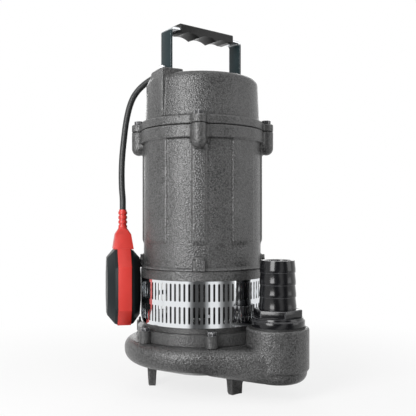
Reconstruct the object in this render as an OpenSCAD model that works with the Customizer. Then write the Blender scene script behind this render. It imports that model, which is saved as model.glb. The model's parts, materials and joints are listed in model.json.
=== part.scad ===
// Submersible sump pump with top suction, a bolted volute, a hose tail and a float switch.
// The shaft axis is the Z axis, the floor is z = 0, and the front of the pump faces -Y.
// The four bolt lugs of the motor housing lie on the X and Y axes.

/* [Pump casing] */
// Outer radius of the round part of the volute
casing_r = 98.5; // [96:0.5:102]
// Height of the flat underside above the floor
casing_z0 = 20; // [16:1:22]
// Height of the face that carries the suction plate
casing_top_z = 61.2; // [60:0.2:64]
// Distance from the shaft to the axis of the outlet tower
outlet_reach = 111.5; // [111:0.5:113]
// Direction of the outlet tower, in degrees from +X
outlet_angle = -35; // [-37:1:-33]
// Outer radius of the outlet tower
tower_r = 37; // [36:0.2:37.4]
// Height of the outlet tower
tower_top_z = 83; // [78:1:90]

/* [Strainer] */
// Outer radius of the strainer band
strainer_r = 78; // [77.5:0.1:78.5]
// Lower edge of the strainer band
strainer_z0 = 82.4; // [82:0.2:84]
// Upper edge of the strainer band
strainer_z1 = 136.8; // [135:0.2:136.9]
// Slots in each of the two rows
slots_per_row = 84; // [60:2:100]
// Width of one slot
slot_w = 2.6; // [1.5:0.1:3]

/* [Motor housing] */
// Outer radius of the plain barrel wall
barrel_r = 74.4; // [73.5:0.1:75]
// Outer radius of the raised vertical bands
band_r = 76.2; // [75.5:0.1:76.8]
// Outer radius of the flanges of the housing and the cover
flange_r = 78; // [77.5:0.1:80]
// Height of the joint between the housing and the cover
seam_z = 320.2; // [315:0.1:325]

/* [Top cover] */
// Outer radius of the cover at its upper edge
cover_top_r = 70.6; // [69:0.1:71]
// Height of the top of the cover
cover_top_z = 384.5; // [380:0.5:388]
// Radius of the bolt circle of the four lugs
lug_r = 81.5; // [81:0.1:83]

/* [Handle] */
// Direction of the handle, in degrees from +X
handle_angle = 40; // [35:1:45]
// Width of the flat steel strap
strap_w = 21; // [19:1:23]
// Thickness of the strap
strap_t = 2.5; // [2:0.5:3]
// Outer length of the handle over its two legs
handle_span = 112; // [110:1:112]
// Height of the top of the strap
strap_top_z = 443.8; // [438:0.2:448]

/* [Hose tail] */
// Radius of the hose tail at its top barb
barb_top_r = 21; // [20:0.5:22]
// Radius of the hose tail at its lowest barb
barb_foot_r = 22; // [21:0.5:23]
// Bore of the hose tail, as a radius
tail_bore_r = 16; // [14:0.5:17]
// Height of the top of the hose tail
tail_top_z = 161.2; // [158:0.2:165]

/* [Float switch] */
// Distance of the float's axis from the shaft, towards -X
float_x = 102; // [102:0.5:104]
// Turn of the float about its own upright axis
float_turn = 14; // [8:1:14]
// Half of the float's thickness
float_half_t = 20.5; // [19:0.5:20.5]
// Diameter of the float's cord
cord_d = 8; // [7:0.1:8]

/* [Hidden] */
$fn = 96;

eps = 0.5;               // overlap of joined shapes and overrun of cutting tools
seat_gap = 0.05;         // radial gap of parts that are pressed or slid together
run_gap = 0.3;           // radial gap between parts that turn past each other
thread_gap = 0.05;       // radial gap of a screw in its tapped hole
clearance_gap = 0.3;     // radial gap of a screw in a through hole

paint = [0.30, 0.30, 0.31];
paint_dark = [0.20, 0.20, 0.21];
black_rubber = [0.08, 0.08, 0.08];
black_plastic = [0.10, 0.10, 0.11];
bright_steel = [0.75, 0.76, 0.78];
dark_steel = [0.22, 0.23, 0.26];
lamination = [0.45, 0.46, 0.48];
copper = [0.72, 0.40, 0.20];
brass = [0.78, 0.62, 0.30];
float_red = [0.80, 0.20, 0.17];
float_black = [0.12, 0.14, 0.15];

// ---- Shared shapes -------------------------------------------------------

// A copy of the children at each direction of a list, turned about the shaft axis
module at_angles(angles) {
    for (a = angles) rotate([0, 0, a]) children();
}

// A tube that stands on z0 and ends at z1
module tube(r_out, r_in, z0, z1) {
    difference() {
        translate([0, 0, z0]) cylinder(r = r_out, h = z1 - z0);
        translate([0, 0, z0 - eps]) cylinder(r = r_in, h = z1 - z0 + 2 * eps);
    }
}

// A plain upright cylinder between two heights
module rod(r, z0, z1) {
    translate([0, 0, z0]) cylinder(r = r, h = z1 - z0);
}

// A hexagonal prism, measured across its flats
module hex_rod(flats, z0, z1) {
    translate([0, 0, z0]) cylinder(r = flats / sqrt(3), h = z1 - z0, $fn = 6);
}

// A hex head screw whose head stands on head_z and whose shank ends at tip_z
module hex_screw(r, flats, head_h, head_z, tip_z) {
    union() {
        hex_rod(flats, head_z, head_z + head_h);
        rod(r, tip_z, head_z + eps);
    }
}

// A socket screw driven from below: the head hangs under head_z
module socket_screw_up(r, head_r, head_h, head_z, tip_z, key_flats) {
    difference() {
        union() {
            rod(head_r, head_z - head_h, head_z);
            rod(r, head_z - eps, tip_z);
        }
        hex_rod(key_flats, head_z - head_h - eps, head_z - head_h / 2);
    }
}

// Points of an arc around [cx, cy], from angle a to angle b
function arc(cx, cy, r, a, b, n = 12) =
    [for (i = [0:n]) [cx + r * cos(a + (b - a) * i / n), cy + r * sin(a + (b - a) * i / n)]];

// Radial slice between two radii and two directions, as a flat shape
module sector(r_in, r_out, half_angle) {
    intersection() {
        difference() {
            circle(r = r_out);
            circle(r = r_in);
        }
        polygon([
            [0, 0],
            [2 * r_out * cos(half_angle), -2 * r_out * sin(half_angle)],
            [2 * r_out * cos(half_angle), 2 * r_out * sin(half_angle)]
        ]);
    }
}

// Sweep of a round section along a list of points, closed at both ends.
// Each ring stands square to the route's own direction there.
function unit(v) = v / norm(v);
function along(p, i) = unit(p[min(i + 1, len(p) - 1)] - p[max(i - 1, 0)]);
function side_of(t, up) = unit(cross(t, up));
function ring_at(c, t, up, r, sides) =
    [for (k = [0:sides - 1]) c
        + r * cos(360 * k / sides) * side_of(t, up)
        + r * sin(360 * k / sides) * cross(side_of(t, up), t)];

module sweep(route, r, sides, up) {
    rings = len(route);
    points = [for (i = [0:rings - 1]) each ring_at(route[i], along(route, i), up, r, sides)];
    walls = [for (i = [0:rings - 2], k = [0:sides - 1]) each [
        [i * sides + k, i * sides + (k + 1) % sides, (i + 1) * sides + k],
        [i * sides + (k + 1) % sides, (i + 1) * sides + (k + 1) % sides, (i + 1) * sides + k]
    ]];
    first = [for (k = [sides - 1:-1:0]) k];
    last = [for (k = [0:sides - 1]) (rings - 1) * sides + k];
    polyhedron(points = points, faces = concat([first], walls, [last]), convexity = 10);
}

// ---- Pump end ------------------------------------------------------------

tower_x = outlet_reach * cos(outlet_angle);
tower_y = outlet_reach * sin(outlet_angle);
neck_r = tower_r - 2.5;                 // the neck under the tower is a step narrower
under_flat_r = 45;                      // flat middle of the underside
under_lean = 16.7;                      // the underside rises outwards from there
casing_low_round = 14.8;                // rounding of the body's lower edge
casing_high_round = 11;                 // rounding of the upper edge all around
tower_low_round = 12;                   // rounding of the lower edge under the tower
chamber_r = 68;
chamber_z = 26;
chamber_floor_r = 44;
chamber_edge_z = 33;
spigot_r = 76;
spigot_z = 55.6;                        // underside of the suction plate, close to the impeller
scroll_r = 75;
scroll_z = 46.5;
scroll_tube_r = 11.5;
thread_r = 29.8;                        // two inch female pipe thread, at its major diameter
thread_floor_z = 56;
outlet_bore_r = 25;
foot_angles = [188, 310, 69];
foot_r = 64;

plate_z0 = 62;
plate_face_z = 75.5;
plate_top_z = 86;
plate_r = 82;
plate_ring_r = 76.9;
plate_by_tower_r = 78.6;                // the plate is cut back to this radius beside the tower
plate_lug_r = 86;
plate_lug_half_w = 7;
plate_bolt_angles = [-80, -140, 160, 100, 40];
plate_bolt_r = 3;
eye_r = 34.3;

column_angles = [-110, 10, 130];
column_r = 62;
column_screw_r = 4;

// Quarter discs that round the lower and the upper edge of a section at radius r
module lower_quarter(r, round, z) {
    intersection() {
        translate([r - round, z]) circle(r = round);
        translate([r - round, z - round]) square(round);
    }
}

module upper_quarter(r) {
    intersection() {
        translate([r - casing_high_round, casing_top_z - casing_high_round]) circle(r = casing_high_round);
        translate([r - casing_high_round, casing_top_z - casing_high_round]) square(casing_high_round);
    }
}

// Section of the round body: flat middle, rising underside and two rounded edges
module body_section() {
    low = casing_low_round;
    edge_z = casing_z0 + (casing_r - low - under_flat_r) * tan(under_lean) + low / cos(under_lean);
    high_z = casing_top_z - casing_high_round;
    polygon([
        [0, casing_z0], [under_flat_r, casing_z0],
        [casing_r - low + low * sin(under_lean), edge_z - low * cos(under_lean)],
        [casing_r - low, edge_z], [casing_r, edge_z], [casing_r, high_z],
        [casing_r - casing_high_round, high_z], [casing_r - casing_high_round, casing_top_z],
        [0, casing_top_z]
    ]);
    intersection() {
        translate([casing_r - low, edge_z]) circle(r = low);
        polygon([
            [casing_r - low, edge_z],
            [casing_r - low + 2 * low * sin(under_lean), edge_z - 2 * low * cos(under_lean)],
            [casing_r + low, edge_z - low], [casing_r + low, edge_z]
        ]);
    }
    upper_quarter(casing_r);
}

// Section of the body under the outlet tower
module tower_section() {
    low = tower_low_round;
    high = casing_high_round;
    difference() {
        translate([0, casing_z0]) square([neck_r, casing_top_z - casing_z0]);
        translate([neck_r - low, casing_z0 - eps]) square([low + eps, low + eps]);
        translate([neck_r - high, casing_top_z - high]) square([high + eps, high + eps]);
    }
    lower_quarter(neck_r, low, casing_z0 + low);
    upper_quarter(neck_r);
}

// Neck between the round body and the outlet tower, with two straight walls.
// It lies a little inside both round ends, and its top a little under theirs.
neck_lean = acos((casing_r - neck_r) / outlet_reach);
neck_run = outlet_reach * sin(neck_lean);
neck_wall_r = casing_r - 0.6;
neck_inner_r = under_flat_r;
neck_roof_z = casing_top_z - 0.3;
neck_sections = [
    // distance along the wall, height of the lower edge, rounding of the lower edge
    [0, casing_z0 + 12, 18],
    [14, casing_z0 + 8.2, 18],
    [72, casing_z0 + 0.2, 18],
    [neck_run, casing_z0 + 0.2, 13]
];

module neck() {
    high = casing_high_round;
    hull() for (side = [-1, 1], s = neck_sections)
        rotate([0, 0, outlet_angle - side * neck_lean]) translate([0, side * s[0], 0])
            rotate([90, 0, 0]) linear_extrude(height = 0.1, center = true)
                polygon(concat(
                    [[neck_inner_r, s[1]]],
                    arc(neck_wall_r - s[2], s[1] + s[2], s[2], -90, 0, 10),
                    arc(neck_wall_r - high, neck_roof_z - high, high, 0, 90, 8),
                    [[neck_inner_r, neck_roof_z]]
                ));
}

// A foot with four leaning sides that ends flat on the floor
module foot() {
    top = casing_z0 + 11;
    intersection() {
        rotate([90, 0, 0])
            translate([0, 0, -20])
                linear_extrude(height = 40)
                    polygon([
                        [foot_r - 4.6, 0], [foot_r + 4.6, 0],
                        [foot_r + 6.4, top], [foot_r - 6.4, top]
                    ]);
        rotate([90, 0, 90])
            linear_extrude(height = 90)
                polygon([[-8, 0], [8, 0], [10.2, top], [-10.2, top]]);
    }
}

// Water passage: impeller chamber, ring channel, outlet channel and threaded outlet
module water_passage() {
    rod(chamber_r, chamber_edge_z, casing_top_z + eps);
    translate([0, 0, chamber_z])
        cylinder(r1 = chamber_floor_r, r2 = chamber_r, h = chamber_edge_z - chamber_z);
    rod(spigot_r, spigot_z - 0.4, casing_top_z + eps);
    rotate_extrude() translate([scroll_r, scroll_z]) circle(r = scroll_tube_r);
    translate([20, -87, scroll_z - 11]) cube([tower_x - 20, 38, 22]);
    translate([tower_x, tower_y, 0]) {
        rod(outlet_bore_r, 31, tower_top_z);
        rod(thread_r, thread_floor_z, tower_top_z + eps);
        translate([0, 0, tower_top_z - 1]) cylinder(r1 = thread_r, r2 = thread_r + 1.5, h = 1.5);
    }
}

// Round outlet tower, cut back where it passes the plate and the strainer
module outlet_tower() {
    difference() {
        translate([tower_x, tower_y, 0]) {
            rod(tower_r, 35, tower_top_z - 2);
            rod(tower_r - 2, 35, tower_top_z);
            translate([0, 0, tower_top_z - 2])
                rotate_extrude() translate([tower_r - 2, 0]) circle(r = 2);
        }
        rod(plate_by_tower_r + 0.4, casing_top_z - 2, tower_top_z + 1);
    }
}

module pump_casing() {
    color(paint)
        difference() {
            union() {
                rotate_extrude() body_section();
                translate([tower_x, tower_y, 0]) rotate_extrude() tower_section();
                neck();
                outlet_tower();
                at_angles(foot_angles) foot();
                at_angles(plate_bolt_angles)
                    translate([plate_lug_r, 0, 0]) rod(plate_lug_half_w, 45, casing_top_z);
            }
            water_passage();
            at_angles(plate_bolt_angles)
                translate([plate_lug_r, 0, 0]) rod(plate_bolt_r + thread_gap, 46, casing_top_z + 1);
        }
}

module outlet_gasket() {
    color(black_rubber)
        translate([tower_x, tower_y, 0]) tube(32.6, thread_r + 1.1, tower_top_z, tower_top_z + 1.4);
}

// Hose tail: threaded spigot, collar, hexagon and four barbs around one bore
module hose_tail() {
    collar_z = tower_top_z + 1.4;
    hex_z = 95;
    barb_z = 104.3;
    barbs = 4;
    barb_land = 4;
    barb_drop = 1.1;
    barb_h = (tail_top_z - barb_z) / barbs;
    color(black_plastic)
        translate([tower_x, tower_y, 0])
            difference() {
                union() {
                    rod(thread_r - thread_gap, thread_floor_z + 1.5, collar_z + eps);
                    rod(31.9, collar_z, hex_z - 3);
                    rod(30.6, hex_z - 3.5, hex_z + eps);
                    rotate([0, 0, -76.4]) translate([0, 0, hex_z])
                        cylinder(r = 29.3, h = barb_z - hex_z, $fn = 6);
                    rod(barb_top_r - 2, barb_z - eps, tail_top_z - 1);
                    for (i = [0:barbs - 1])
                        translate([0, 0, barb_z + i * barb_h])
                            rotate_extrude()
                                let (r = barb_foot_r + (barb_top_r - barb_foot_r) * i / (barbs - 1))
                                    polygon([
                                        [0, i == 0 ? -eps : 0],
                                        [r, i == 0 ? -eps : 0],
                                        [r, barb_land],
                                        [r - barb_drop, barb_h],
                                        [0, barb_h]
                                    ]);
                }
                rod(tail_bore_r, thread_floor_z, tail_top_z + eps);
                translate([0, 0, thread_floor_z])
                    cylinder(r1 = outlet_bore_r, r2 = tail_bore_r, h = 14);
            }
}

// ---- Impeller ------------------------------------------------------------

impeller_z = 37;
impeller_r = 60;
vane_z1 = 52;
shroud_top_z = 54.5;
impeller_eye_r = 30;
shaft_tail_r = 8;
shaft_seal_r = 9;
shaft_lower_r = 12.5;
shaft_rotor_r = 14;
shaft_upper_r = 10;
hub_top_z = 67.75;
key_w = 4;

// One curved vane between the two shrouds
module vane() {
    bend = 46;
    intersection() {
        translate([0, 0, impeller_z + 2])
            linear_extrude(height = vane_z1 - impeller_z)
                translate([22, -29]) difference() {
                    circle(r = bend);
                    circle(r = bend - 2.4);
                }
        difference() {
            rod(impeller_r - 0.8, impeller_z + 1, vane_z1 + 1);
            rod(24, impeller_z, vane_z1 + 2);
        }
        translate([0, -10, 0]) cube([70, 80, 80]);
    }
}

// Closed impeller with its eye facing up, towards the suction side
module impeller() {
    color(brass)
        difference() {
            union() {
                rod(impeller_r, impeller_z, impeller_z + 3);
                rod(14, impeller_z, hub_top_z);
                at_angles([0:60:300]) vane();
                tube(impeller_r, impeller_eye_r, vane_z1, shroud_top_z);
                tube(eye_r - run_gap, impeller_eye_r, vane_z1, 66);
            }
            rod(shaft_tail_r + seat_gap, impeller_z - 1, hub_top_z + 1);
            translate([0, -key_w / 2 - seat_gap, impeller_z - 1])
                cube([shaft_tail_r + 2 + seat_gap, key_w + 2 * seat_gap, 25]);
        }
}

module impeller_key() {
    color(bright_steel)
        translate([shaft_tail_r - 2, -key_w / 2, 41]) cube([4, key_w, 16]);
}

module impeller_nut() {
    color(bright_steel)
        difference() {
            union() {
                hex_rod(19, 28, impeller_z - 1.5);
                rod(12, impeller_z - 1.5, impeller_z);
            }
            rod(6 + thread_gap, 27, impeller_z + eps);
        }
}

// ---- Suction side --------------------------------------------------------

// A disc with the five lugs, between two heights
module lugged_disc(r, lug_half_w, z0, z1) {
    translate([0, 0, z0])
        linear_extrude(height = z1 - z0)
            union() {
                circle(r = r);
                at_angles(plate_bolt_angles) translate([plate_lug_r, 0]) circle(r = lug_half_w);
            }
}

// Room for the outlet tower in the rim of the plate and of its gasket
module tower_room() {
    difference() {
        translate([tower_x, tower_y, 0])
            rod(tower_r + 0.4, casing_top_z - eps, plate_face_z + eps);
        rod(plate_by_tower_r, casing_top_z - 1, plate_face_z + 1);
    }
}

module suction_plate() {
    color(paint_dark)
        difference() {
            union() {
                lugged_disc(plate_r, plate_lug_half_w + 0.6, plate_z0, plate_face_z);
                rod(spigot_r - 0.2, spigot_z, plate_z0 + eps);
                rod(74.6, plate_face_z - eps, strainer_z0);
                rod(plate_ring_r, strainer_z0 - 0.2, plate_top_z);
            }
            tower_room();
            rod(eye_r, spigot_z - eps, 68.5);
            translate([0, 0, 68]) cylinder(r1 = eye_r, r2 = 52, h = plate_top_z - 67.9);
            // bolts of the casing, outside the strainer
            at_angles(plate_bolt_angles) translate([plate_lug_r, 0, 0])
                rod(plate_bolt_r + clearance_gap, plate_z0 - eps, plate_face_z + eps);
            // screws up into the columns of the bracket
            at_angles(column_angles) translate([column_r, 0, 0]) {
                rod(column_screw_r + clearance_gap, plate_z0 - eps, plate_top_z + eps);
                rod(7, spigot_z - eps, plate_z0 + 8);
            }
        }
}

module plate_gasket() {
    color(black_rubber)
        difference() {
            lugged_disc(plate_r - 0.4, plate_lug_half_w - 0.4, casing_top_z, plate_z0);
            tower_room();
            rod(spigot_r + 0.2, casing_top_z - 1, plate_z0 + 1);
            at_angles(plate_bolt_angles) translate([plate_lug_r, 0, 0])
                rod(plate_bolt_r + clearance_gap, casing_top_z - 1, plate_z0 + 1);
        }
}

module plate_bolts() {
    color(dark_steel)
        at_angles(plate_bolt_angles) translate([plate_lug_r, 0, 0])
            hex_screw(plate_bolt_r, 10, 4.5, plate_face_z, 47);
}

module column_bolts() {
    color(dark_steel)
        at_angles(column_angles) translate([column_r, 0, 0])
            socket_screw_up(column_screw_r, 6.5, 6, plate_z0 + 8, 108, 6);
}

// Stainless band with two rows of upright slots
module strainer() {
    upper_row = [113, 133.8];
    lower_row = [87, 107];
    pitch = 360 / slots_per_row;
    color(bright_steel)
        difference() {
            tube(strainer_r, plate_ring_r + 0.1, strainer_z0, strainer_z1);
            for (i = [0:slots_per_row - 1], row = [lower_row, upper_row])
                rotate([0, 0, i * pitch])
                    translate([strainer_r - 3, -slot_w / 2, row[0]])
                        cube([6, slot_w, row[1] - row[0]]);
        }
}

// ---- Bearing bracket, oil chamber and seals ------------------------------

bracket_z0 = 134.2;
bracket_ring_z = 137;
barrel_z0 = 148;
bracket_spigot_r = 65.9;
bracket_screw_r = 71;
lower_bearing = [141, 156, 26, 12.5];    // lower face, upper face, outer and bore radius
upper_bearing = [300, 314, 23.5, 10];
oil_cup_r = 46;
oil_cup_bore_r = 40;
oil_cover_z = [94, 100];
oil_screw_angles = [45, 165, 285];
seal_seat_r = 17;
lip_seal_z = [133, 139.5];
lug_angles = [0, 90, 180, 270];
plug_angle = 135;
plug_z = 142.4;

module lower_bracket() {
    color(paint_dark)
        difference() {
            union() {
                rod(strainer_r, bracket_ring_z, barrel_z0 - 0.6);
                rod(flange_r - 2, barrel_z0 - 0.7, barrel_z0);
                rod(plate_ring_r, bracket_z0, bracket_ring_z + eps);
                rod(bracket_spigot_r, barrel_z0 - eps, 157.5);
                rod(oil_cup_r, oil_cover_z[1], bracket_z0 + eps);
                at_angles(column_angles)
                    translate([column_r, 0, 0]) rod(9, plate_top_z, bracket_z0 + eps);
            }
            rod(oil_cup_bore_r, oil_cover_z[1] - eps, lip_seal_z[0] - 3);
            rod(seal_seat_r, lip_seal_z[0] - 4, lip_seal_z[1]);
            rod(shaft_seal_r + 2, lip_seal_z[0], lower_bearing[0] + eps);
            rod(lower_bearing[2] + seat_gap, lower_bearing[0], 158);
            difference() {
                rod(58, barrel_z0, 158);
                rod(33, barrel_z0 - 1, 159);
            }
            // groove of the O-ring on the spigot
            translate([0, 0, 152.4]) tube(bracket_spigot_r + 1, 62.9, 0, 3.4);
            at_angles(lug_angles) translate([bracket_screw_r, 0, 0]) {
                rod(3 + clearance_gap, bracket_z0 - eps, 158);
                rod(5.2, bracket_z0 - eps, bracket_z0 + 6);
            }
            at_angles(column_angles) translate([column_r, 0, 0])
                rod(column_screw_r + thread_gap, plate_top_z - 1, 110);
            rotate([0, 0, plug_angle]) translate([0, 0, plug_z]) rotate([0, 90, 0]) {
                translate([0, 0, 30]) cylinder(r = 2, h = 50);
                translate([0, 0, 68]) cylinder(r = 4 + thread_gap, h = 12);
            }
            rotate([0, 0, plug_angle]) translate([36, 0, 0]) rod(2, 128, plug_z);
            at_angles(oil_screw_angles) translate([43, 0, 0])
                rod(2 + thread_gap, oil_cover_z[1] - 1, 112);
        }
}

module bracket_o_ring() {
    color(black_rubber)
        rotate_extrude() translate([64.45, 154.1]) circle(r = 1.42);
}

module bracket_screws() {
    color(bright_steel)
        at_angles(lug_angles) translate([bracket_screw_r, 0, 0])
            socket_screw_up(3, 5, 6, bracket_z0 + 6, 164, 5);
}

module oil_plug() {
    color(bright_steel)
        rotate([0, 0, plug_angle]) translate([0, 0, plug_z]) rotate([0, 90, 0])
            difference() {
                translate([0, 0, 68]) cylinder(r = 4, h = strainer_r - 68 - 0.2);
                translate([0, 0, strainer_r - 4]) cylinder(r = 2.4, h = 6, $fn = 6);
            }
}

module oil_cover() {
    color(paint_dark)
        difference() {
            union() {
                rod(oil_cup_r, oil_cover_z[0], oil_cover_z[1]);
                rod(21, oil_cover_z[0], 106);
            }
            rod(seal_seat_r - 3, oil_cover_z[0] - eps, 107);
            rod(seal_seat_r + seat_gap, oil_cover_z[0] - eps, 103);
            at_angles(oil_screw_angles) translate([43, 0, 0])
                rod(2 + clearance_gap, oil_cover_z[0] - eps, oil_cover_z[1] + eps);
        }
}

module oil_cover_screws() {
    color(bright_steel)
        at_angles(oil_screw_angles) translate([43, 0, 0])
            socket_screw_up(2, 3.5, 4, oil_cover_z[0], 111, 3);
}

// Stationary ceramic ring of the mechanical seal
module seal_seat() {
    color([0.85, 0.84, 0.80]) tube(seal_seat_r, shaft_seal_r + 0.8, 95.5, 103);
}

// Turning carbon ring and its rubber bellows
module seal_head() {
    color(black_rubber)
        difference() {
            union() {
                rod(13, 91, 95.3);
                rod(15, 85, 91.5);
            }
            rod(shaft_seal_r + seat_gap, 84, 96);
        }
}

// Spring that presses the seal's two faces together
module seal_spring() {
    coil_r = 12.4;
    wire_r = 0.9;
    turns = 3.5;
    steps_per_turn = 16;
    lift = 84.9 - 70.6 - 2 * wire_r;
    route = [for (i = [0:turns * steps_per_turn])
        [coil_r * cos(360 * i / steps_per_turn), coil_r * sin(360 * i / steps_per_turn),
            70.6 + wire_r + lift * i / (turns * steps_per_turn)]];
    color(bright_steel) {
        sweep(route, wire_r, 6, [0, 0, 1]);
        tube(15, shaft_seal_r + seat_gap, 68, 70.6);
    }
}

module lip_seal() {
    color(black_rubber)
        difference() {
            rod(seal_seat_r - seat_gap, lip_seal_z[0] - 3, lip_seal_z[1]);
            rod(shaft_seal_r + 0.06, lip_seal_z[0] - 4, lip_seal_z[1] + 1);
            translate([0, 0, lip_seal_z[0] - 3.5]) tube(14, 11.5, 0, 6);
        }
}

// ---- Rotor ---------------------------------------------------------------

shaft_steps = [
    // radius, lower end, upper end
    [6, 27, 37.3],
    [shaft_tail_r, 37.3, 68],
    [shaft_seal_r, 68, 141.4],
    [shaft_lower_r, 141.4, 158],
    [shaft_rotor_r, 158, 298],
    [shaft_upper_r, 298, 316]
];

module shaft() {
    color(bright_steel)
        difference() {
            for (s = shaft_steps) rod(s[0], s[1] - (s[1] > 30 ? 0.2 : 0), s[2]);
            translate([shaft_tail_r - 2 - seat_gap, -key_w / 2 - seat_gap, 40.9])
                cube([6, key_w + 2 * seat_gap, 16.2]);
        }
}

rotor_z = [190, 262];
rotor_r = 41;
rotor_bars = 18;
bar_r = 2.2;
bar_ring_r = 36;

module rotor_core() {
    color(lamination)
        difference() {
            rod(rotor_r, rotor_z[0], rotor_z[1]);
            rod(shaft_rotor_r + seat_gap, rotor_z[0] - 1, rotor_z[1] + 1);
            at_angles([0:360 / rotor_bars:359]) translate([bar_ring_r, 0, 0])
                rod(bar_r + seat_gap, rotor_z[0] - 1, rotor_z[1] + 1);
        }
}

// Cast cage: two end rings joined by bars through the core
module rotor_cage() {
    ring_h = 8;
    color([0.70, 0.71, 0.72]) {
        tube(39.5, 26, rotor_z[0] - ring_h, rotor_z[0]);
        tube(39.5, 26, rotor_z[1], rotor_z[1] + ring_h);
        at_angles([0:360 / rotor_bars:359]) translate([bar_ring_r, 0, 0])
            rod(bar_r, rotor_z[0] - 1, rotor_z[1] + 1);
    }
}

// ---- Stator --------------------------------------------------------------

stator_r = 69.4;
stator_bore_r = 41.6;
stator_slots = 24;
winding_z = [170, 282];

// Winding slot between two teeth; grow widens it
module stator_slot(grow) {
    half = 180 / stator_slots * 0.5;
    sector(46 - grow, 60 + grow, half + grow * 0.6);
    sector(stator_bore_r - 2, 47, 1.4);
}

module stator_core() {
    color(lamination)
        translate([0, 0, rotor_z[0]])
            linear_extrude(height = rotor_z[1] - rotor_z[0])
                difference() {
                    circle(r = stator_r);
                    circle(r = stator_bore_r);
                    at_angles([0:360 / stator_slots:359]) stator_slot(0);
                }
}

// End turns above and below the core, joined by the wires in the slots
module stator_windings() {
    half = 180 / stator_slots * 0.5;
    color(copper) {
        tube(62.5, 44.5, winding_z[0], rotor_z[0] - 0.4);
        tube(62.5, 44.5, rotor_z[1] + 0.4, winding_z[1]);
        translate([0, 0, rotor_z[0] - 2])
            linear_extrude(height = rotor_z[1] - rotor_z[0] + 4)
                at_angles([0:360 / stator_slots:359]) sector(47.4, 59.5, half - 0.3);
    }
}

// ---- Bearings ------------------------------------------------------------

ball_r = 3.95;
lower_pitch_r = 19.25;
upper_pitch_r = 16.75;

module race_groove(pitch_r, z) {
    translate([0, 0, z]) rotate_extrude() translate([pitch_r, 0]) circle(r = ball_r + 0.12);
}

module bearing_outer(seat, pitch_r) {
    mid = (seat[0] + seat[1]) / 2;
    color(bright_steel)
        difference() {
            tube(seat[2], pitch_r + 2.2, seat[0], seat[1]);
            race_groove(pitch_r, mid);
        }
}

module bearing_inner(seat, pitch_r) {
    mid = (seat[0] + seat[1]) / 2;
    color(bright_steel)
        difference() {
            tube(pitch_r - 2.2, seat[3] + seat_gap, seat[0], seat[1]);
            race_groove(pitch_r, mid);
        }
}

// Balls held at equal distances by a thin cage ring
module bearing_balls(seat, pitch_r, count) {
    mid = (seat[0] + seat[1]) / 2;
    color([0.80, 0.80, 0.82]) {
        at_angles([0:360 / count:359]) translate([pitch_r, 0, mid]) sphere(r = ball_r, $fn = 24);
        tube(pitch_r + 1.2, pitch_r - 1.2, mid - 1, mid + 1);
    }
}

module lower_bearing_outer() { bearing_outer(lower_bearing, lower_pitch_r); }
module lower_bearing_balls() { bearing_balls(lower_bearing, lower_pitch_r, 9); }
module lower_bearing_inner() { bearing_inner(lower_bearing, lower_pitch_r); }
module upper_bearing_outer() { bearing_outer(upper_bearing, upper_pitch_r); }
module upper_bearing_balls() { bearing_balls(upper_bearing, upper_pitch_r, 8); }
module upper_bearing_inner() { bearing_inner(upper_bearing, upper_pitch_r); }

// Spring washer that presses on the upper bearing
module wave_washer() {
    color(bright_steel) tube(22.8, 19.6, 314.05, 314.95);
}

bearing_plate_z = [306, 316];
bearing_plate_r = 71.4;

// Disc in the mouth of the housing that holds the upper bearing
module upper_bearing_plate() {
    color(paint_dark)
        difference() {
            union() {
                rod(bearing_plate_r, bearing_plate_z[0], bearing_plate_z[1]);
                rod(29, 298, bearing_plate_z[0] + eps);
                rod(18, bearing_plate_z[1] - eps, 319.5);
                tube(bearing_plate_r, 66.9, bearing_plate_z[1] - eps, seam_z);
            }
            rod(upper_bearing[2] + seat_gap, 297, 315);
            rod(14, 314, 317.5);
            at_angles([20:60:320]) translate([52, 0, 0]) rod(8, 305, 317);
        }
}

// ---- Motor housing -------------------------------------------------------

band_z0 = 184;
band_z1 = 306;
barrel_bore_r = 69.5;
lug_body_r = 8.9;                       // half width of a lug at its bolt
cover_bolt_r = 3;
housing_flange_z = 304.7;
lug_bottom_z = 290.4;
boss_z = [148, 165];

// Raised vertical band between two directions, with a sloped lower end
module raised_band(direction, half_angle) {
    rotate([0, 0, direction])
        translate([0, 0, band_z0]) linear_extrude(height = band_z1 - band_z0)
            sector(barrel_r - 2, band_r, half_angle);
    rotate([0, 0, direction])
        intersection() {
            translate([0, 0, band_z0 - 7]) linear_extrude(height = 8)
                sector(barrel_r - 2, band_r, half_angle);
            translate([0, 0, band_z0 - 7])
                cylinder(r1 = barrel_r - 0.4, r2 = band_r + 0.6, h = 8);
        }
}

// Flat shape raised between two heights
module slab(z0, z1) {
    translate([0, 0, z0]) linear_extrude(height = z1 - z0) children();
}

// Bolt lug on the rim of a flange, flat above and rounded below
module lug_column(z0, z1, round_bottom) {
    translate([lug_r, 0, 0]) {
        rod(lug_body_r, z0 + (round_bottom ? lug_body_r : 0), z1);
        if (round_bottom) translate([0, 0, z0 + lug_body_r]) sphere(r = lug_body_r, $fn = 96);
    }
    slab(z0 + (round_bottom ? lug_body_r : 0), z1)
        translate([barrel_r - 3, -lug_body_r - 1.5]) square([7, 2 * lug_body_r + 3]);
}

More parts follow.
